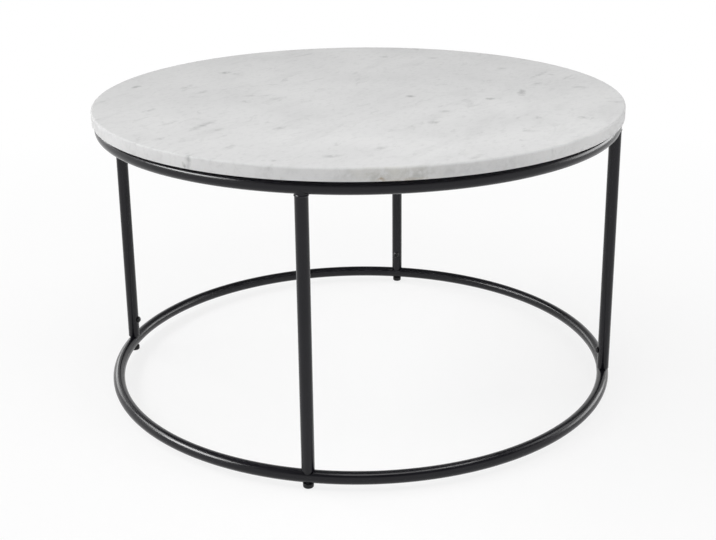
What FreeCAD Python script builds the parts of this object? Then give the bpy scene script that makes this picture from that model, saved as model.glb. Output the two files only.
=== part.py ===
import FreeCAD, Part
import os
from math import pi, sqrt

os.makedirs("parts", exist_ok=True)

# Round cocktail table: a marble disc on a frame of two bent tube rings and four straight tube legs.
# Millimetres, +Z up, origin on the floor under the middle of the top, one leg on each of the X and Y axes.

# Overall size
top_diameter = 800.0
table_height = 450.0

# Marble top
top_thickness = 18.0
top_edge_round = 3.0
underside_edge_round = 1.0
top_overhang = 3.5              # from the outside of the rings to the edge of the marble

# Steel tube of both rings and all legs
tube_diameter = 18.0
tube_wall = 1.5
cope_trim = 2.5                 # blunt ears of a leg's saddle cut, below the middle of the upper ring
weld_width = 1.5
vent_diameter = 6.0             # lets the air out of the upper ring into each leg

# Spigots on the lower ring, over which the legs slide, each held by one screw on the inner side
spigot_height = 50.0
spigot_clearance = 0.25
spigot_chamfer = 1.5
leg_screw_height = 29.0         # above the cut end of the leg
leg_screw_grip = 9.0
screw_hole_clearance = 0.3
thread_clearance = 0.05

# Button-head screws, one thread size for legs and top
screw_diameter = 6.0
screw_head_diameter = 10.5
screw_head_height = 3.3
socket_across_flats = 4.0
socket_depth = 2.0
head_flat_share = 0.52
head_bulge_radius_share = 0.86
head_bulge_height_share = 0.60

# Levelling feet: a moulded cap on a threaded stud, in a bush through the underside of the lower ring
cap_diameter = 15.0
cap_height = 7.0
cap_bottom_round = 2.2
cap_top_round = 0.6
stud_diameter = 6.0
stud_length = 13.0              # above the cap
stud_sunk = 4.5                 # inside the cap
stud_flange_diameter = 9.0
stud_flange_height = 2.0
stud_chamfer = 0.8
bush_diameter = 10.0
bush_length = 10.0
bush_proud = 0.5                # below the underside of the ring

# Tabs inside the upper ring, one above each leg, that hold the marble
tab_thickness = 3.0
tab_width = 26.0
tab_hole_inset = 25.5           # from the middle of the tube to the screw
tab_ring_overlap = 4.0          # how far the tab stops short of the middle of the tube
pad_diameter = 24.0
pad_thickness = 2.0
insert_diameter = 9.0
insert_length = 10.0
insert_tip_gap = 1.0
insert_flange_diameter = 12.0
insert_flange_height = 1.2

overrun = 5.0                   # past the faces that a cut goes through

# Worked out from the sizes above
tube_radius = tube_diameter / 2
bore_radius = tube_radius - tube_wall
ring_radius = top_diameter / 2 - top_overhang - tube_radius
lower_underside_z = cap_height + bush_proud
lower_ring_z = lower_underside_z + tube_radius
leg_end_z = lower_underside_z + tube_diameter
top_underside_z = table_height - top_thickness
upper_crown_z = top_underside_z - pad_thickness
upper_ring_z = upper_crown_z - tube_radius
leg_top_z = upper_ring_z - cope_trim
leg_screw_z = leg_end_z + leg_screw_height
tab_hole_radius = ring_radius - tab_hole_inset
screw_radius = screw_diameter / 2
tab_underside_z = upper_crown_z - tab_thickness

origin = FreeCAD.Vector(0, 0, 0)
up = FreeCAD.Vector(0, 0, 1)
inward = FreeCAD.Vector(-1, 0, 0)
leg_angles = {"right": 0, "rear": 90, "left": 180, "front": 270}


def place(x, z):
    return FreeCAD.Vector(x, 0, z)


def rod(diameter, low_z, high_z, x=0):
    """An upright cylinder on the leg line."""
    return Part.makeCylinder(diameter / 2, high_z - low_z, place(x, low_z), up)


def tube_ring(z, diameter):
    """A full ring of round bar with its middle line at the height z."""
    return Part.makeTorus(ring_radius, diameter / 2, place(0, z), up)


def turned(edges):
    """A solid of revolution about Z from edges drawn in the XZ plane."""
    return Part.Face(Part.Wire(edges)).revolve(origin, up, 360)


def line(start, end):
    return Part.LineSegment(place(*start), place(*end)).toShape()


def outline(points):
    """A closed outline of straight lines through points given as radius and height."""
    return [line(a, b) for a, b in zip(points, points[1:] + points[:1])]


def rim_edges(shape, z):
    """The round edges of a shape that lie flat at the height z."""
    tolerance = overrun / 1000
    flat = [e for e in shape.Edges if e.BoundBox.ZLength < tolerance]
    return [e for e in flat if abs(e.BoundBox.ZMin - z) < tolerance]


def button_screw(length):
    """A button-head screw, shank up along Z, with its head below the origin."""
    head_radius = screw_head_diameter / 2
    crown = (head_radius * head_flat_share, -screw_head_height)
    bulge = (head_radius * head_bulge_radius_share, -screw_head_height * head_bulge_height_share)
    rim = (head_radius, 0)
    dome = Part.Arc(place(*rim), place(*bulge), place(*crown)).toShape()
    axis_low = (0, -screw_head_height)
    axis_high = (0, length)
    shank_end = (screw_radius, length)
    neck = (screw_radius, 0)
    body = turned([dome, line(crown, axis_low), line(axis_low, axis_high), line(axis_high, shank_end),
                   line(shank_end, neck), line(neck, rim)])
    corner = place(socket_across_flats / sqrt(3), -screw_head_height)
    corners = [FreeCAD.Rotation(up, 60 * k).multVec(corner) for k in range(6)]
    socket = Part.Face(Part.makePolygon(corners + corners[:1])).extrude(up * socket_depth)
    return body.cut(socket)


def marble_top():
    disc = rod(top_diameter, top_underside_z, table_height)
    disc = disc.makeFillet(top_edge_round, rim_edges(disc, table_height))
    disc = disc.makeFillet(underside_edge_round, rim_edges(disc, top_underside_z))
    for angle in leg_angles.values():
        disc = disc.cut(around(top_insert_envelope(), angle))
    return disc


def upper_ring():
    ring = tube_ring(upper_ring_z, tube_diameter).cut(tube_ring(upper_ring_z, bore_radius * 2))
    vent = rod(vent_diameter, upper_ring_z - tube_radius - overrun, upper_ring_z, ring_radius)
    for angle in leg_angles.values():
        ring = ring.cut(around(vent, angle))
    return ring


def lower_ring():
    ring = tube_ring(lower_ring_z, tube_diameter).cut(tube_ring(lower_ring_z, bore_radius * 2))
    hole = rod(bush_diameter, lower_underside_z - overrun, lower_ring_z, ring_radius)
    for angle in leg_angles.values():
        ring = ring.cut(around(hole, angle))
    return ring


def leg():
    """A tube with a straight cut at the floor end and a welded saddle cut under the upper ring."""
    body = rod(tube_diameter, leg_end_z, leg_top_z, ring_radius)
    bore = rod(bore_radius * 2, leg_end_z - overrun, leg_top_z + overrun, ring_radius)
    ring_bar = tube_ring(upper_ring_z, tube_diameter)
    weld_diameter = tube_diameter + 2 * weld_width
    weld = rod(weld_diameter, upper_ring_z - tube_diameter, leg_top_z, ring_radius)
    weld = weld.common(tube_ring(upper_ring_z, weld_diameter))
    screw_hole_radius = screw_radius + screw_hole_clearance
    hole_start = place(ring_radius, leg_screw_z)
    hole = Part.makeCylinder(screw_hole_radius, tube_radius + overrun, hole_start, inward)
    return body.fuse(weld).cut(bore).cut(ring_bar).cut(hole).removeSplitter()


def spigot():
    """A solid pin welded on the lower ring, with a tapped cross hole for the leg screw."""
    diameter = 2 * (bore_radius - spigot_clearance)
    pin = rod(diameter, lower_ring_z, leg_end_z + spigot_height, ring_radius)
    pin = pin.makeChamfer(spigot_chamfer, rim_edges(pin, leg_end_z + spigot_height))
    thread_radius = screw_radius + thread_clearance
    depth = tube_radius + overrun
    hole_start = place(ring_radius + depth, leg_screw_z)
    tapped = Part.makeCylinder(thread_radius, depth + tube_radius, hole_start, inward)
    return pin.cut(tube_ring(lower_ring_z, tube_diameter)).cut(tapped)


def leg_screw():
    """The screw on the inner side of a leg, pointing outward."""
    screw = button_screw(tube_wall + leg_screw_grip)
    screw.rotate(origin, FreeCAD.Vector(0, 1, 0), 90)
    screw.translate(place(ring_radius - tube_radius, leg_screw_z))
    return screw


def foot_bush():
    low_z = cap_height
    body = rod(bush_diameter, low_z, low_z + bush_length, ring_radius)
    thread_diameter = stud_diameter + 2 * thread_clearance
    thread = rod(thread_diameter, low_z - overrun, low_z + bush_length + overrun, ring_radius)
    return body.cut(thread)


def foot_stud():
    stud_radius = stud_diameter / 2
    flange_radius = stud_flange_diameter / 2
    flange_low_z = cap_height - stud_sunk
    flange_high_z = flange_low_z + stud_flange_height
    tip_z = cap_height + stud_length
    profile = [(0, flange_low_z), (flange_radius, flange_low_z), (flange_radius, flange_high_z),
               (stud_radius, flange_high_z), (stud_radius, tip_z - stud_chamfer),
               (stud_radius - stud_chamfer, tip_z), (0, tip_z)]
    stud = turned(outline(profile))
    stud.translate(place(ring_radius, 0))
    return stud


def foot_cap():
    cap = rod(cap_diameter, 0, cap_height, ring_radius)
    cap = cap.makeFillet(cap_bottom_round, rim_edges(cap, 0))
    cap = cap.makeFillet(cap_top_round, rim_edges(cap, cap_height))
    return cap.cut(foot_stud())


def top_tab():
    """A plate with a round inner end, seated on the inner flank of the upper ring."""
    length = tab_hole_inset - tab_ring_overlap
    corner = FreeCAD.Vector(tab_hole_radius, -tab_width / 2, tab_underside_z)
    plate = Part.makeBox(length, tab_width, tab_thickness, corner)
    plate = plate.fuse(rod(tab_width, tab_underside_z, upper_crown_z, tab_hole_radius)).removeSplitter()
    hole_diameter = screw_diameter + 2 * screw_hole_clearance
    hole = rod(hole_diameter, tab_underside_z - overrun, upper_crown_z + overrun, tab_hole_radius)
    return plate.cut(tube_ring(upper_ring_z, tube_diameter)).cut(hole)


def top_pad():
    pad = rod(pad_diameter, upper_crown_z, top_underside_z, tab_hole_radius)
    hole_diameter = screw_diameter + 2 * screw_hole_clearance
    return pad.cut(rod(hole_diameter, upper_crown_z - overrun, top_underside_z + overrun, tab_hole_radius))


def top_insert_envelope():
    """The room that a threaded insert takes in the underside of the marble."""
    body = rod(insert_diameter, top_underside_z, top_underside_z + insert_length, tab_hole_radius)
    flange_top_z = top_underside_z + insert_flange_height
    flange = rod(insert_flange_diameter, top_underside_z, flange_top_z, tab_hole_radius)
    return body.fuse(flange).removeSplitter()


def top_insert():
    thread_diameter = screw_diameter + 2 * thread_clearance
    thread_top_z = top_underside_z + insert_length + overrun
    thread = rod(thread_diameter, top_underside_z - overrun, thread_top_z, tab_hole_radius)
    return top_insert_envelope().cut(thread)


def top_screw():
    screw = button_screw(tab_thickness + pad_thickness + insert_length - insert_tip_gap)
    screw.translate(place(tab_hole_radius, tab_underside_z))
    return screw


def around(shape, angle):
    turned_copy = shape.copy()
    turned_copy.rotate(origin, up, angle)
    return turned_copy


def save(name, shape):
    solids = shape.Solids
    if len(solids) != 1 or not shape.isValid():
        print("check", name, "solids", len(solids), "valid", shape.isValid())
    solids[0].exportStep("parts/" + name + ".step")
    print(name, "volume", round(shape.Volume, 1))


save("marble_top", marble_top())
save("upper_ring", upper_ring())
save("lower_ring", lower_ring())

# One of each of these stands at every leg
leg_pieces = {
    "leg": leg(),
    "spigot": spigot(),
    "leg_screw": leg_screw(),
    "foot_bush": foot_bush(),
    "foot_stud": foot_stud(),
    "foot_cap": foot_cap(),
    "top_tab": top_tab(),
    "top_pad": top_pad(),
    "top_insert": top_insert(),
    "top_screw": top_screw(),
}
for piece, shape in leg_pieces.items():
    for side, angle in leg_angles.items():
        save(piece + "_" + side, around(shape, angle))

# The rings' volumes by hand, to compare with the solids
tube_section = pi * (tube_radius ** 2 - bore_radius ** 2)
print("one ring by hand", round(tube_section * 2 * pi * ring_radius, 1))
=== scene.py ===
import bmesh
import bpy
import math
from mathutils import Matrix, Vector


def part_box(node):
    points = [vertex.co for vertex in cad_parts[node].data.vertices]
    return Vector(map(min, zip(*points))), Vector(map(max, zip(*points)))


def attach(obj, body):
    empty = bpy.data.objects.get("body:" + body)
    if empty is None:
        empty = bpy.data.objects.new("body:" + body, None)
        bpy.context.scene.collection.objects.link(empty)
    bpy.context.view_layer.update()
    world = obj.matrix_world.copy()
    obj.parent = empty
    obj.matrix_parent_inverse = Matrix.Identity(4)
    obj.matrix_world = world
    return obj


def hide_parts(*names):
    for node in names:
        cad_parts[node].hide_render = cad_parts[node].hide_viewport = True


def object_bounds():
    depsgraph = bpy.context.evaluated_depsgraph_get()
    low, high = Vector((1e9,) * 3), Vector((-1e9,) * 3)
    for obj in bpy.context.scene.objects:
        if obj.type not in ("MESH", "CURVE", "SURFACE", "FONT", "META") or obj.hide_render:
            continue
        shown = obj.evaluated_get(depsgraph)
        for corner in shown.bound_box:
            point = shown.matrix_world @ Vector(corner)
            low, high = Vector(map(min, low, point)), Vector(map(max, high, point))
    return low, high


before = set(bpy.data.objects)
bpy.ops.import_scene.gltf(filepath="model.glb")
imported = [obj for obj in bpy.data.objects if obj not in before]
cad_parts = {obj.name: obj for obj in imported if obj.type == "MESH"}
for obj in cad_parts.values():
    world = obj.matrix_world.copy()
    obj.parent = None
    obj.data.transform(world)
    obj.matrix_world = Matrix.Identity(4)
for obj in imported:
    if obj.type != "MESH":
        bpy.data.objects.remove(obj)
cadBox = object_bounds()
scene = bpy.context.scene


# sizes taken from the frame, in metres
def centreOf(node):
    low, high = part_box(node)
    return (low + high) / 2


def sizeOf(node):
    low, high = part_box(node)
    return high - low


mm = 0.001
sides = {"right": 0, "rear": 90, "left": 180, "front": 270}  # leg angles about Z
slabLow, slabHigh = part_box("marble_top")
slabRadius = slabHigh.x
tubeRadius = sizeOf("upper_ring").z / 2
ringRadius = centreOf("foot_cap_right").x
upperZ = centreOf("upper_ring").z
lowerZ = centreOf("lower_ring").z
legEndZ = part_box("leg_right")[0].z
screwZ = centreOf("leg_screw_right").z


# shared mesh helpers
closeness = {"level": 0.01 * mm, "merge": 0.002 * mm, "steep": 0.5, "mostCorners": 8}


def circleLoop(bm, radius, segments, place):
    made = bmesh.ops.create_circle(bm, cap_ends=False, segments=segments, radius=radius, matrix=place)
    return made["verts"]


def edgesOf(verts):
    chosen = set(verts)
    return [e for e in {e for v in verts for e in v.link_edges} if chosen.issuperset(e.verts)]


def extrudeLoop(bm, verts, move):
    made = bmesh.ops.extrude_edge_only(bm, edges=edgesOf(verts))
    fresh = [g for g in made["geom"] if isinstance(g, bmesh.types.BMVert)]
    bmesh.ops.translate(bm, verts=fresh, vec=move)
    return fresh


def capLoop(bm, verts):
    return bmesh.ops.contextual_create(bm, geom=edgesOf(verts))["faces"]


def scaleAbout(bm, verts, centre, factor):
    space = Matrix.Translation(-Vector(centre))
    bmesh.ops.scale(bm, verts=verts, vec=(factor, factor, 1), space=space)


def roundOff(bm, edges, offset, segments):
    bmesh.ops.bevel(bm, geom=edges, offset=offset, offset_type="OFFSET", segments=segments,
                    profile=0.5, affect="EDGES", material=-1, clamp_overlap=True)


# edges at one level that border an upright face
def rimAt(bm, z):
    level = [e for e in bm.edges if all(abs(v.co.z - z) < closeness["level"] for v in e.verts)]
    return [e for e in level if not e.is_wire
            and any(abs(f.normal.z) < closeness["steep"] for f in e.link_faces)]


# the round end faces, which have many corners
def endFaces(bm):
    return [f for f in bm.faces if len(f.verts) > closeness["mostCorners"]]


def turnAbout(bm, angle):
    bmesh.ops.rotate(bm, verts=bm.verts, cent=(0, 0, 0), matrix=Matrix.Rotation(math.radians(angle), 3, "Z"))


def finishPiece(name, bm, material, body, nodes, sharpAngle=35):
    bmesh.ops.remove_doubles(bm, verts=bm.verts, dist=closeness["merge"])
    bmesh.ops.recalc_face_normals(bm, faces=bm.faces)
    mesh = bpy.data.meshes.new(name)
    bm.to_mesh(mesh)
    bm.free()
    mesh.shade_smooth()
    mesh.set_sharp_from_angle(angle=math.radians(sharpAngle))
    mesh.materials.append(material)
    piece = bpy.data.objects.new(name, mesh)
    scene.collection.objects.link(piece)
    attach(piece, body)
    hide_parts(*nodes)
    return piece


# shared material helpers
def newMaterial(name):
    material = bpy.data.materials.new(name)
    material.use_nodes = True
    tree = material.node_tree
    shader = tree.nodes["Principled BSDF"]
    coords = tree.nodes.new("ShaderNodeTexCoord").outputs["Object"]
    return material, tree, shader, coords


def noiseOf(tree, vector, scale, detail=3, roughness=0.5, distortion=0):
    node = tree.nodes.new("ShaderNodeTexNoise")
    node.inputs["Scale"].default_value = scale
    node.inputs["Detail"].default_value = detail
    node.inputs["Roughness"].default_value = roughness
    node.inputs["Distortion"].default_value = distortion
    tree.links.new(vector, node.inputs["Vector"])
    return node.outputs["Fac"]


def rangeOf(tree, value, fromLow, fromHigh, toLow, toHigh):
    node = tree.nodes.new("ShaderNodeMapRange")
    node.inputs["From Min"].default_value = fromLow
    node.inputs["From Max"].default_value = fromHigh
    node.inputs["To Min"].default_value = toLow
    node.inputs["To Max"].default_value = toHigh
    tree.links.new(value, node.inputs["Value"])
    return node.outputs["Result"]


def mathOf(tree, operation, first, second):
    node = tree.nodes.new("ShaderNodeMath")
    node.operation = operation
    for socket, value in zip(node.inputs, (first, second)):
        if isinstance(value, (int, float)):
            socket.default_value = value
        else:
            tree.links.new(value, socket)
    return node.outputs["Value"]


def mixColour(tree, factor, first, second):
    node = tree.nodes.new("ShaderNodeMix")
    node.data_type = "RGBA"
    tree.links.new(factor, node.inputs["Factor"])
    # inputs 6 and 7 and output 2 are the colour sockets
    for socket, value in ((node.inputs[6], first), (node.inputs[7], second)):
        if isinstance(value, tuple):
            socket.default_value = (*value, 1)
        else:
            tree.links.new(value, socket)
    return node.outputs[2]


def mappedOf(tree, vector, turn, stretch, place=(0, 0, 0)):
    node = tree.nodes.new("ShaderNodeMapping")
    node.inputs["Location"].default_value = place
    node.inputs["Rotation"].default_value = (0, 0, math.radians(turn))
    node.inputs["Scale"].default_value = stretch
    tree.links.new(vector, node.inputs["Vector"])
    return node.outputs["Vector"]


def bumpOf(tree, height, distance):
    node = tree.nodes.new("ShaderNodeBump")
    node.inputs["Strength"].default_value = 1
    node.inputs["Distance"].default_value = distance
    tree.links.new(height, node.inputs["Height"])
    return node.outputs["Normal"]


# white marble: soft clouds, grey layers from broad streaks to fine crystals, and single flecks
marble = {
    "pale": (0.640, 0.640, 0.638),
    "cloud": (0.585, 0.585, 0.585),
    "vein": (0.270, 0.272, 0.275),
    "rust": (0.30, 0.22, 0.13),
    "warm": (0.56, 0.55, 0.50),
    "grainTurn": -70,  # the streaks run at 70 degrees from the X axis
    "cloudNoise": (5.0, 3, 0.5, 0.3),  # scale, detail, roughness, distortion
    "cloudFrom": (0.35, 0.68),
    "bendScale": 85,  # bends every fleck so that none is a clean oval
    "bendDetail": 4,
    "bend": 5 * mm,
    "brokenNoise": (130, 4, 0.6),  # and breaks it up
    "brokenFrom": (0.36, 0.60),
    "brokenLeast": 0.12,
    "fleckCore": 1.25,  # how much of a fleck has its full tone
    "fleckDrop": 100 * mm,  # flecks run down through the slab
    "edgeMarkDrop": 9 * mm,
    "roughness": (0.57, 0.67),
    "specular": 0.12,
    "crystalBump": 0.02 * mm,
}
marbleLayers = {
    "streak": {"scale": 8, "stretch": 3.2, "detail": 5, "rough": 0.60, "warp": 0.6,
               "from": (0.52, 0.76), "tone": 0.15},
    "wisp": {"scale": 24, "stretch": 1.9, "detail": 4, "rough": 0.60, "warp": 0.8,
             "from": (0.60, 0.76), "tone": 0.30},
    "mottle": {"scale": 78, "stretch": 1.6, "detail": 5, "rough": 0.66, "warp": 0.5,
               "from": (0.50, 0.74), "tone": 0.18},
    "crystal": {"scale": 900, "stretch": 1, "detail": 2, "rough": 0.50, "warp": 0,
                "from": (0.45, 0.75), "tone": 0.05},
}
# larger flecks, listed one by one: x, y, half length and half width in mm, turn in degrees, depth of tone
slabFlecks = [
    (-250, 135, 12, 13, 20, 0.76), (-230, 130, 10, 10, -15, 0.46), (-360, 10, 12, 7, 70, 0.78),
    (-160, -25, 13, 10, 20, 0.44), (-160, -65, 11, 10, 45, 0.44), (-70, -215, 14, 8, 60, 0.58),
    (-180, -215, 40, 9, 76, 0.58), (-230, -210, 25, 7, 63, 0.50), (-150, -370, 17, 6, 68, 0.46),
    (-35, -375, 10, 9, 0, 0.46), (245, 55, 29, 8, 94, 0.84), (200, 5, 9, 11, 10, 0.74),
    (80, 5, 9, 11, 10, 0.66), (265, 190, 42, 6, 69, 0.58), (265, 120, 21, 8, 70, 0.46),
    (200, 235, 11, 12, 20, 0.46), (75, 310, 11, 12, 10, 0.42), (135, -150, 11, 15, 0, 0.60),
    (145, -85, 11, 11, 15, 0.44), (275, -105, 9, 9, -20, 0.42), (340, -95, 9, 11, 10, 0.58),
    (385, 10, 13, 8, -8, 0.52), (270, -180, 10, 11, 10, 0.44), (210, -320, 19, 8, 60, 0.44),
    (85, -300, 16, 8, 66, 0.44), (30, -345, 18, 9, 19, 0.48), (-215, -295, 14, 8, 70, 0.44),
    (-10, 310, 8, 10, 33, 0.42), (285, 195, 8, 9, 47, 0.42), (-375, -100, 21, 6, 80, 0.36),
    (-245, -10, 18, 8, 70, 0.46), (-285, -140, 20, 7, 72, 0.44), (-280, 20, 22, 7, 78, 0.40),
    (-150, -235, 14, 7, 70, 0.44), (-110, -320, 18, 7, 72, 0.42),
]
# marks on the edge face: angle about Z, height share, half length and half height in mm, tone, kind
edgeMarks = [
    (-113, 0.30, 4, 4.5, 1.00, "vein"), (-112, 0.80, 5, 12, 0.60, "vein"), (-75.5, 0.14, 6, 4, 0.95, "rust"),
    (-71, 0.03, 42, 3.5, 0.45, "rust"), (-73, 0.50, 110, 16, 0.60, "warm"), (-76, 0.40, 30, 14, 0.40, "vein"),
    (-69, 0.40, 38, 14, 0.46, "vein"), (-82, 0.45, 26, 13, 0.30, "vein"), (-61, 0.40, 36, 13, 0.24, "vein"),
    (-51, 0.40, 36, 13, 0.20, "vein"),
]


def spotOf(tree, vector, place, turn, halfSize):
    node = tree.nodes.new("ShaderNodeMapping")
    node.vector_type = "TEXTURE"
    node.inputs["Location"].default_value = place
    node.inputs["Rotation"].default_value = (0, 0, math.radians(turn))
    node.inputs["Scale"].default_value = halfSize
    tree.links.new(vector, node.inputs["Vector"])
    fall = tree.nodes.new("ShaderNodeTexGradient")
    fall.gradient_type = "SPHERICAL"
    tree.links.new(node.outputs["Vector"], fall.inputs["Vector"])
    return fall.outputs["Fac"]


def bentOf(tree, coords, scale, detail, reach):
    noise = tree.nodes.new("ShaderNodeTexNoise")
    noise.inputs["Scale"].default_value = scale
    noise.inputs["Detail"].default_value = detail
    tree.links.new(coords, noise.inputs["Vector"])
    middle = tree.nodes.new("ShaderNodeVectorMath")
    middle.operation = "SUBTRACT"
    tree.links.new(coords, middle.inputs[0])
    middle.inputs[1].default_value = (reach,) * 3
    bend = tree.nodes.new("ShaderNodeVectorMath")
    bend.operation = "MULTIPLY_ADD"
    tree.links.new(noise.outputs["Color"], bend.inputs[0])
    bend.inputs[1].default_value = (2 * reach,) * 3
    tree.links.new(middle.outputs["Vector"], bend.inputs[2])
    return bend.outputs["Vector"]


def marbleSpots():
    m = marble
    for x, y, long, wide, turn, tone in slabFlecks:
        place = (x * mm, y * mm, (slabLow.z + slabHigh.z) / 2)
        yield "vein", tone, place, turn, (long * mm, wide * mm, m["fleckDrop"])
    for angle, share, long, tall, tone, kind in edgeMarks:
        a = math.radians(angle)
        z = slabLow.z + share * (slabHigh.z - slabLow.z)
        place = (slabRadius * math.cos(a), slabRadius * math.sin(a), z)
        yield kind, tone, place, angle, (m["edgeMarkDrop"], long * mm, tall * mm)


def makeMarble():
    m = marble
    material, tree, shader, coords = newMaterial("whiteMarble")
    grain = mappedOf(tree, coords, m["grainTurn"], (1, 1, 1))
    cloud = noiseOf(tree, grain, *m["cloudNoise"])
    colour = mixColour(tree, rangeOf(tree, cloud, *m["cloudFrom"], 0, 1), m["pale"], m["cloud"])
    for layer in marbleLayers.values():
        across = layer["stretch"]  # as fine down the edge as across the grain, measured from the top
        stretched = mappedOf(tree, grain, 0, (1, across, across), (0, 0, slabHigh.z * (1 - across)))
        noise = noiseOf(tree, stretched, layer["scale"], layer["detail"], layer["rough"], layer["warp"])
        colour = mixColour(tree, rangeOf(tree, noise, *layer["from"], 0, layer["tone"]), colour, m["vein"])

    bent = bentOf(tree, coords, m["bendScale"], m["bendDetail"], m["bend"])
    tones = {"warm": None, "vein": None, "rust": None}
    for kind, tone, place, turn, halfSize in marbleSpots():
        fall = mathOf(tree, "MULTIPLY", spotOf(tree, bent, place, turn, halfSize), tone * m["fleckCore"])
        fall = mathOf(tree, "MINIMUM", fall, tone)
        tones[kind] = fall if tones[kind] is None else mathOf(tree, "MAXIMUM", tones[kind], fall)
    broken = noiseOf(tree, coords, *m["brokenNoise"])
    broken = rangeOf(tree, broken, *m["brokenFrom"], m["brokenLeast"], 1)
    for kind in tones:
        colour = mixColour(tree, mathOf(tree, "MULTIPLY", tones[kind], broken), colour, m[kind])
    tree.links.new(colour, shader.inputs["Base Color"])
    tree.links.new(rangeOf(tree, cloud, *m["cloudFrom"], *m["roughness"]), shader.inputs["Roughness"])
    shader.inputs["Specular IOR Level"].default_value = m["specular"]
    crystals = noise  # the last layer
    tree.links.new(bumpOf(tree, crystals, m["crystalBump"]), shader.inputs["Normal"])
    return material


# satin black powder coat, with its fine orange peel
powderCoat = {"tone": (0.0032, 0.0029, 0.0052), "worn": (0.0052, 0.0048, 0.0076), "roughness": 0.22,
              "specular": 0.31, "peel": 0.006 * mm, "driftNoise": (24, 3, 0.5), "peelNoise": (750, 2, 0.5),
              "wornFrom": (0.35, 0.7), "roughFrom": (0.3, 0.7), "roughSpread": (-0.04, 0.05)}


def makePowderCoat():
    m = powderCoat
    material, tree, shader, coords = newMaterial("blackPowderCoat")
    drift = noiseOf(tree, coords, *m["driftNoise"])
    peel = noiseOf(tree, coords, *m["peelNoise"])
    colour = mixColour(tree, rangeOf(tree, drift, *m["wornFrom"], 0, 1), m["tone"], m["worn"])
    tree.links.new(colour, shader.inputs["Base Color"])
    rough = [m["roughness"] + change for change in m["roughSpread"]]
    tree.links.new(rangeOf(tree, drift, *m["roughFrom"], *rough), shader.inputs["Roughness"])
    shader.inputs["Specular IOR Level"].default_value = m["specular"]
    tree.links.new(bumpOf(tree, peel, m["peel"]), shader.inputs["Normal"])
    return material


# one plain recipe for the small pieces: tone, mottle, roughness, metal and grain
smallFinishes = {
    "blackScrew": {"tone": (0.007, 0.007, 0.008), "mottle": (0.013, 0.013, 0.014), "roughness": 0.28,
                   "specular": 0.30, "metal": 0, "grain": 500, "depth": 0.03},
    "blackNylon": {"tone": (0.006, 0.006, 0.007), "mottle": (0.011, 0.011, 0.012), "roughness": 0.30,
                   "specular": 0.24, "metal": 0, "grain": 900, "depth": 0.04},
    "bareSteel": {"tone": (0.55, 0.56, 0.57), "mottle": (0.44, 0.45, 0.46), "roughness": 0.33,
                  "specular": 0.50, "metal": 1, "grain": 1200, "depth": 0.02},
    "blackRubber": {"tone": (0.016, 0.016, 0.016), "mottle": (0.026, 0.026, 0.026), "roughness": 0.75,
                    "specular": 0.20, "metal": 0, "grain": 700, "depth": 0.06},
    "insertBrass": {"tone": (0.62, 0.46, 0.20), "mottle": (0.52, 0.37, 0.15), "roughness": 0.36,
                    "specular": 0.50, "metal": 1, "grain": 900, "depth": 0.02},
}


smallMottle = {"noise": (180, 3, 0.55), "from": (0.35, 0.68), "roughFrom": (0.3, 0.7),
               "roughSpread": (-0.05, 0.06), "grainDetail": 2}


def makeSmallFinish(name):
    m = smallFinishes[name]
    s = smallMottle
    material, tree, shader, coords = newMaterial(name)
    mottle = noiseOf(tree, coords, *s["noise"])
    colour = mixColour(tree, rangeOf(tree, mottle, *s["from"], 0, 1), m["tone"], m["mottle"])
    tree.links.new(colour, shader.inputs["Base Color"])
    rough = [m["roughness"] + change for change in s["roughSpread"]]
    tree.links.new(rangeOf(tree, mottle, *s["roughFrom"], *rough), shader.inputs["Roughness"])
    shader.inputs["Metallic"].default_value = m["metal"]
    shader.inputs["Specular IOR Level"].default_value = m["specular"]
    grain = noiseOf(tree, coords, m["grain"], s["grainDetail"])
    tree.links.new(bumpOf(tree, grain, m["depth"] * mm), shader.inputs["Normal"])
    return material


finishes = {name: makeSmallFinish(name) for name in smallFinishes}
finishes["whiteMarble"] = makeMarble()
finishes["blackPowderCoat"] = makePowderCoat()
print("materials made:", len(finishes))


# marble slab: a round disc with rounded edges
slab = {"segments": 288, "topRound": 3.0 * mm, "lowRound": 1.0 * mm, "roundSegments": 7, "flatInset": 4 * mm,
        "sharp": 60}


def makeSlab():
    bm = bmesh.new()
    low = circleLoop(bm, slabRadius, slab["segments"], Matrix.Translation((0, 0, slabLow.z)))
    capLoop(bm, low)
    high = extrudeLoop(bm, low, (0, 0, slabHigh.z - slabLow.z))
    capLoop(bm, high)
    bm.normal_update()
    roundOff(bm, rimAt(bm, slabHigh.z), slab["topRound"], slab["roundSegments"])
    roundOff(bm, rimAt(bm, slabLow.z), slab["lowRound"], slab["roundSegments"])
    flats = endFaces(bm)
    for inset in (slab["flatInset"], slabRadius / 2):
        bmesh.ops.inset_individual(bm, faces=flats, thickness=inset, use_even_offset=True)
    return finishPiece("marbleSlab", bm, finishes["whiteMarble"], "table", ["marble_top"],
                       slab["sharp"])


# bent tube rings
ring = {"around": 288, "section": 40, "sharp": 60}


def makeRing(name, node, z):
    bm = bmesh.new()
    stand = Matrix.Translation((ringRadius, 0, z)) @ Matrix.Rotation(math.radians(90), 4, "X")
    circleLoop(bm, tubeRadius, ring["section"], stand)
    bmesh.ops.spin(bm, geom=bm.verts[:] + bm.edges[:], cent=(0, 0, z), axis=(0, 0, 1),
                   angle=2 * math.pi, steps=ring["around"], use_merge=True)
    return finishPiece(name, bm, finishes["blackPowderCoat"], "table", [node], ring["sharp"])


# legs: cut straight where they stand on the lower ring, welded under the upper ring
leg = {"section": 56, "wall": 1.5 * mm, "endRound": 0.35 * mm, "endSegments": 3, "boreDepth": 30 * mm,
       "sharp": 30}
# the weld: a bead round the leg just below the ring, fuller on the inner side where the run ends
weld = {"drop": 3.0 * mm, "bulge": 0.75 * mm, "loops": 6, "ripples": 19, "ripple": 0.22, "sink": 0.3 * mm,
        "earLoops": 4, "innerBulge": 1.3 * mm, "innerPower": 3}


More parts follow.
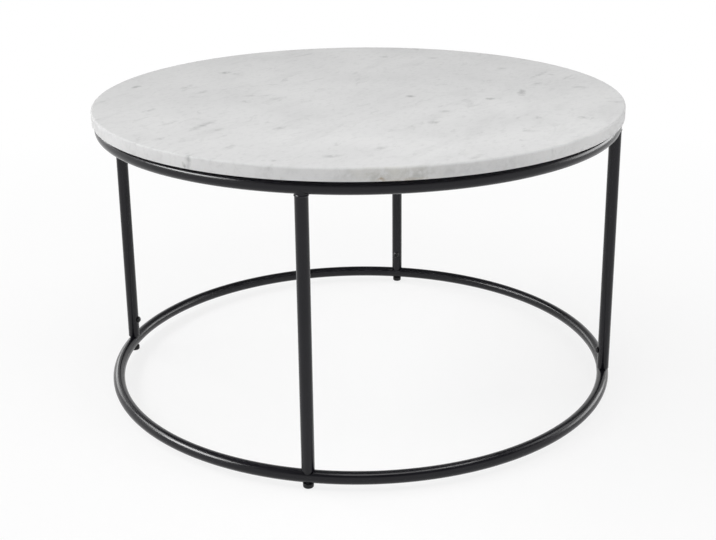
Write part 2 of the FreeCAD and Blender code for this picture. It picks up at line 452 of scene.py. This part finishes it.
def saddleHeight(across):
    return upperZ - math.sqrt(max(tubeRadius ** 2 - across ** 2, 0))


def makeLeg(side, angle):
    bm = bmesh.new()
    axis = Vector((ringRadius, 0, 0))
    ringLow = upperZ - tubeRadius
    low = circleLoop(bm, tubeRadius, leg["section"], Matrix.Translation((ringRadius, 0, legEndZ)))
    bore = extrudeLoop(bm, low, (0, 0, 0))
    scaleAbout(bm, bore, axis, (tubeRadius - leg["wall"]) / tubeRadius)
    deep = extrudeLoop(bm, bore, (0, 0, leg["boreDepth"]))
    capLoop(bm, deep)
    rim = edgesOf(low)
    loop = extrudeLoop(bm, low, (0, 0, ringLow - weld["drop"] - legEndZ))
    for step in range(1, weld["loops"] + weld["earLoops"] + 1):
        loop = extrudeLoop(bm, loop, (0, 0, 0))
        beadShare = min(step / weld["loops"], 1)
        earShare = max(step - weld["loops"], 0) / weld["earLoops"]
        for v in loop:
            out = (v.co - axis) * Vector((1, 1, 0))
            out.normalize()
            inner = max(-out.x, 0) ** weld["innerPower"]
            wave = 1 + weld["ripple"] * math.sin(weld["ripples"] * math.atan2(out.y, out.x))
            bulge = weld["bulge"] * wave * math.sin(math.pi * beadShare)
            bulge = bulge + weld["innerBulge"] * inner * math.sin(math.pi * (beadShare + earShare) / 2)
            seat = saddleHeight(out.x * tubeRadius) + weld["sink"]
            v.co = axis + out * (tubeRadius + bulge)
            v.co.z = ringLow - weld["drop"] * (1 - beadShare) + (seat - ringLow) * earShare
    mouth = extrudeLoop(bm, loop, (0, 0, 0))  # inside the bead the tube is open to the ring
    for v in mouth:
        out = (v.co - axis) * Vector((1, 1, 0))
        out.normalize()
        v.co = axis + out * (tubeRadius - leg["wall"])
        v.co.z = saddleHeight(v.co.x - axis.x) + weld["sink"]
    inside = extrudeLoop(bm, mouth, (0, 0, 0))
    for v in inside:
        v.co.z = ringLow - leg["boreDepth"]
    capLoop(bm, inside)
    roundOff(bm, rim, leg["endRound"], leg["endSegments"])
    turnAbout(bm, angle)
    node = "leg_" + side
    return finishPiece("legTube_" + side, bm, finishes["blackPowderCoat"], "table", [node],
                       leg["sharp"])


# button-head screws with a hexagon socket
screw = {"radius": sizeOf("leg_screw_right").y / 2, "height": 3.3 * mm, "shank": 3 * mm, "socket": 2.0 * mm,
         "socketDepth": 2.0 * mm, "segments": 48, "flatShare": 0.52, "domeLoops": 6, "domeArc": 62,
         "socketSides": 6, "sharp": 30}


def makeScrew(name, node, place, length):
    bm = bmesh.new()
    rim = circleLoop(bm, screw["radius"], screw["segments"], Matrix())
    seat = extrudeLoop(bm, rim, (0, 0, 0))
    scaleAbout(bm, seat, (0, 0, 0), screw["shank"] / screw["radius"])
    tip = extrudeLoop(bm, seat, (0, 0, length))
    capLoop(bm, tip)
    loop = rim
    arc = math.radians(screw["domeArc"])
    for step in range(1, screw["domeLoops"] + 1):
        share = step / screw["domeLoops"]
        lean = share * arc
        radius = screw["radius"] * (1 - (1 - screw["flatShare"]) * (1 - math.cos(lean)) / (1 - math.cos(arc)))
        height = screw["height"] * math.sin(lean) / math.sin(arc)
        loop = extrudeLoop(bm, loop, (0, 0, 0))
        for v in loop:
            flat = v.co.copy()
            flat.z = 0
            v.co = flat.normalized() * radius
            v.co.z = -height
    mouth = extrudeLoop(bm, loop, (0, 0, 0))
    sector = 360 / screw["socketSides"]
    for v in mouth:  # the socket's mouth is a hexagon with as many points as the dome
        turn = math.radians(math.degrees(math.atan2(v.co.y, v.co.x)) % sector - sector / 2)
        v.co = Vector((v.co.x, v.co.y, 0)).normalized() * (screw["socket"] / math.cos(turn))
        v.co.z = -screw["height"]
    floor = extrudeLoop(bm, mouth, (0, 0, screw["socketDepth"]))
    capLoop(bm, floor)
    bmesh.ops.transform(bm, matrix=place, verts=bm.verts)
    return finishPiece(name, bm, finishes["blackScrew"], "table", [node], screw["sharp"])


# moulded foot caps with a rounded underside
foot = {"segments": 56, "lowRound": 2.2 * mm, "lowSegments": 6, "topRound": 0.6 * mm, "topSegments": 3,
        "dish": 0.4 * mm, "dishShare": 0.55, "dishSlope": 0.5 * mm}


def makeFootCap(side):
    node = "foot_cap_" + side
    low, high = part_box(node)
    centre = (low + high) / 2
    radius = (high.x - low.x) / 2
    bm = bmesh.new()
    base = circleLoop(bm, radius, foot["segments"], Matrix.Translation((centre.x, centre.y, low.z)))
    capLoop(bm, base)
    top = extrudeLoop(bm, base, (0, 0, high.z - low.z))
    capLoop(bm, top)
    bm.normal_update()
    roundOff(bm, rimAt(bm, low.z), foot["lowRound"], foot["lowSegments"])
    roundOff(bm, rimAt(bm, high.z), foot["topRound"], foot["topSegments"])
    under = [f for f in endFaces(bm) if f.normal.z < 0]
    bmesh.ops.inset_individual(bm, faces=under, thickness=radius * (1 - foot["dishShare"]) / 2)
    bmesh.ops.inset_individual(bm, faces=under, thickness=foot["dishSlope"], depth=-foot["dish"])
    return finishPiece("footCap_" + side, bm, finishes["blackNylon"], "foot_" + side, [node])


# threaded studs that the caps are moulded on, with a flange inside the cap
stud = {"radius": 3.0 * mm, "pitch": 1.0 * mm, "depth": 0.55 * mm, "steps": 28, "flange": 2.0 * mm,
        "tipRound": 0.5 * mm, "tipSegments": 2, "overlap": 0.15 * mm, "crest": (0.44, 0.56),
        "foot": (0.08, 0.92)}


def makeFootStud(side):
    node = "foot_stud_" + side
    low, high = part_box(node)
    centre = (low + high) / 2
    wide = (high.x - low.x) / 2
    root = stud["radius"] - stud["depth"]
    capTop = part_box("foot_cap_" + side)[1].z
    turns = int((high.z - capTop) / stud["pitch"]) - 1
    bm = bmesh.new()
    core = circleLoop(bm, wide, stud["steps"], Matrix.Translation((centre.x, centre.y, low.z)))
    capLoop(bm, core)
    flange = extrudeLoop(bm, core, (0, 0, stud["flange"]))
    neck = extrudeLoop(bm, flange, (0, 0, 0))
    scaleAbout(bm, neck, centre, root / wide)
    tip = extrudeLoop(bm, neck, (0, 0, high.z - low.z - stud["flange"]))
    capLoop(bm, tip)
    bm.normal_update()
    roundOff(bm, rimAt(bm, high.z), stud["tipRound"], stud["tipSegments"])
    footR = root - stud["overlap"]
    corners = [(footR, stud["foot"][0]), (stud["radius"], stud["crest"][0]),
               (stud["radius"], stud["crest"][1]), (footR, stud["foot"][1])]
    verts = [bm.verts.new((centre.x + r, centre.y, capTop + share * stud["pitch"])) for r, share in corners]
    edges = [bm.edges.new(pair) for pair in zip(verts, verts[1:] + verts[:1])]
    wound = bmesh.ops.spin(bm, geom=verts + edges, cent=centre, axis=(0, 0, 1), angle=2 * math.pi * turns,
                           dvec=(0, 0, stud["pitch"] / stud["steps"]), steps=turns * stud["steps"],
                           use_merge=False)
    capLoop(bm, verts)
    capLoop(bm, [g for g in wound["geom_last"] if isinstance(g, bmesh.types.BMVert)])
    return finishPiece("footStud_" + side, bm, finishes["bareSteel"], "foot_" + side, [node])


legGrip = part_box("leg_screw_right")[1].x - (ringRadius - tubeRadius)
onLeg = Matrix.Translation((ringRadius - tubeRadius, 0, screwZ)) @ Matrix.Rotation(math.radians(90), 4, "Y")
slabPiece = makeSlab()
makeRing("upperRing", "upper_ring", upperZ)
makeRing("lowerRing", "lower_ring", lowerZ)
print("slab and rings made")
for side, angle in sides.items():
    makeLeg(side, angle)
    around = Matrix.Rotation(math.radians(angle), 4, "Z")
    makeScrew("legScrew_" + side, "leg_screw_" + side, around @ onLeg, legGrip)
    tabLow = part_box("top_tab_" + side)[0].z
    mid = centreOf("top_screw_" + side)
    seat = Matrix.Translation((mid.x, mid.y, tabLow))
    makeScrew("topScrew_" + side, "top_screw_" + side, seat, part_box("top_screw_" + side)[1].z - tabLow)
    makeFootCap(side)
    makeFootStud(side)
print("legs, screws and feet made")

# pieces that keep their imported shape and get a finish
keptFinishes = {"spigot": "blackPowderCoat", "foot_bush": "blackPowderCoat", "top_tab": "blackPowderCoat",
                "top_pad": "blackRubber", "top_insert": "insertBrass"}
for piece, finish in keptFinishes.items():
    for side in sides:
        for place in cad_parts[piece + "_" + side].material_slots:
            place.material = finishes[finish]
print("kept pieces finished")


# floor, backdrop and light
stageLook = {"floorSize": 60, "floorDrop": 0.2 * mm, "floorTone": 0.88, "glowNear": 0.80, "glowFar": 1.0,
             "nearRadius": 0.45, "farRadius": 1.7, "paleUpTo": 0.34, "dimFrom": 0.62, "ceiling": 0.18}


def seenDirectly(tree):
    path = tree.nodes.new("ShaderNodeLightPath")
    total = mathOf(tree, "ADD", path.outputs["Is Camera Ray"], path.outputs["Is Glossy Ray"])
    total = mathOf(tree, "ADD", total, path.outputs["Is Transmission Ray"])
    return mathOf(tree, "MINIMUM", total, 1.0)


def makeFloor():
    look = stageLook
    bm = bmesh.new()
    bmesh.ops.create_grid(bm, x_segments=1, y_segments=1, size=look["floorSize"] / 2,
                          matrix=Matrix.Translation((0, 0, cadBox[0].z - look["floorDrop"])))
    mesh = bpy.data.meshes.new("floor")
    bm.to_mesh(mesh)
    bm.free()
    floor = bpy.data.objects.new("floor", mesh)
    scene.collection.objects.link(floor)
    material, tree, shader, coords = newMaterial("paleFloor")
    tree.nodes.remove(shader)
    matt = tree.nodes.new("ShaderNodeBsdfDiffuse")
    matt.inputs["Color"].default_value = (look["floorTone"],) * 3 + (1,)
    glow = tree.nodes.new("ShaderNodeEmission")
    reach = tree.nodes.new("ShaderNodeVectorMath")
    reach.operation = "LENGTH"
    tree.links.new(coords, reach.inputs[0])
    share = rangeOf(tree, reach.outputs["Value"], look["nearRadius"], look["farRadius"],
                    look["glowNear"], look["glowFar"])
    lit = tree.nodes.new("ShaderNodeMixShader")
    tree.links.new(mathOf(tree, "MULTIPLY", seenDirectly(tree), share), lit.inputs["Fac"])
    tree.links.new(matt.outputs["BSDF"], lit.inputs[1])
    tree.links.new(glow.outputs["Emission"], lit.inputs[2])
    oneSided = tree.nodes.new("ShaderNodeMixShader")  # from below the floor is clear
    tree.links.new(tree.nodes.new("ShaderNodeNewGeometry").outputs["Backfacing"], oneSided.inputs["Fac"])
    tree.links.new(lit.outputs["Shader"], oneSided.inputs[1])
    tree.links.new(tree.nodes.new("ShaderNodeBsdfTransparent").outputs["BSDF"], oneSided.inputs[2])
    tree.links.new(oneSided.outputs["Shader"], tree.nodes["Material Output"].inputs["Surface"])
    mesh.materials.append(material)


def makeSky():
    look = stageLook
    world = bpy.data.worlds.new("studio")
    world.use_nodes = True
    tree = world.node_tree
    back = tree.nodes["Background"]
    back.inputs["Color"].default_value = (1, 1, 1, 1)
    height = tree.nodes.new("ShaderNodeSeparateXYZ")
    tree.links.new(tree.nodes.new("ShaderNodeTexCoord").outputs["Generated"], height.inputs["Vector"])
    tree.links.new(rangeOf(tree, height.outputs["Z"], look["paleUpTo"], look["dimFrom"], 1, look["ceiling"]),
                   back.inputs["Strength"])
    scene.world = world


# soft boxes: place, aim, size in metres, watts, kind
# a gleam shows only as a reflection on the black frame, a fill never shows as one
softBoxes = {
    "leftKey": ((-8.0, 0.33, 6.1), (0, 0, 0.35), (8.3, 2.2), 528, "light"),
    "leftGleam": ((-7.4, -2.5, 5.6), (0, 0, 0.35), (5.5, 2.7), 920, "gleam"),
    "leftRearGleam": ((-5.85, 5.45, 2.45), (0, 0, 0.1), (3.7, 2.0), 74, "gleam"),
    "rightRearGleam": ((6.4, 4.8, 2.2), (0, 0, 0.1), (5.5, 2.6), 220, "gleam"),
    "rightTopGleam": ((0.70, -0.10, 1.6), (0.18, -0.35, 0), (0.6, 0.4), 8, "gleam"),
    "rightFill": ((2.6, 1.4, 2.6), (0, 0, 0.40), (1.6, 1.2), 17, "light"),
    "rightBoard": ((4.0, 0.6, 1.2), (0, 0, 0.42), (3.0, 2.0), 33, "fill"),
    "frontBoard": ((-2.4, -2.2, 1.4), (0, 0, 0.42), (2.0, 1.6), 18, "fill"),
    "overhead": ((0.20, -0.6, 1.6), (0.08, -0.4, 0.45), (0.8, 0.6), 7, "light"),
}


def makeLights():
    frameOnly = bpy.data.collections.new("frameOnly")
    frameOnly.objects.link(slabPiece)
    frameOnly.collection_objects[0].light_linking.link_state = "EXCLUDE"
    for name, (place, aim, size, watts, kind) in softBoxes.items():
        lamp = bpy.data.lights.new(name, "AREA")
        lamp.shape = "RECTANGLE"
        lamp.size, lamp.size_y = size
        lamp.energy = watts
        holder = bpy.data.objects.new(name, lamp)
        holder.location = place
        holder.rotation_euler = (Vector(aim) - Vector(place)).to_track_quat("-Z", "Y").to_euler()
        holder.visible_camera = False
        holder.visible_diffuse = kind != "gleam"
        holder.visible_glossy = kind != "fill"
        if kind == "gleam":
            holder.light_linking.receiver_collection = frameOnly
        scene.collection.objects.link(holder)


# camera at the photograph's viewing angle, its pixels counted in a frame 716 wide
photoCamera = {"azimuth": 10.66, "distance": 1.85, "height": 0.8676, "pitch": 17.73, "yaw": -0.05,
               "roll": -0.60, "focalPixels": 1238.6, "frameWide": 716, "shiftPixels": -66, "sensor": 36}


def makeCamera():
    c = photoCamera
    data = bpy.data.cameras.new("photoCamera")
    data.sensor_width = c["sensor"]
    data.lens = c["focalPixels"] / c["frameWide"] * c["sensor"]
    data.shift_y = c["shiftPixels"] / c["frameWide"]
    holder = bpy.data.objects.new("photoCamera", data)
    a = math.radians(c["azimuth"])
    place = Matrix.Translation((c["distance"] * math.sin(a), -c["distance"] * math.cos(a), c["height"]))
    turn = Matrix.Rotation(a - math.radians(c["yaw"]), 4, "Z")
    tilt = Matrix.Rotation(math.radians(90 - c["pitch"]), 4, "X")
    roll = Matrix.Rotation(math.radians(c["roll"]), 4, "Z")
    holder.matrix_world = place @ turn @ tilt @ roll
    scene.collection.objects.link(holder)
    scene.camera = holder


makeFloor()
makeSky()
makeLights()
makeCamera()
scene.view_settings.view_transform = "Standard"
print("stage, lights and camera set")
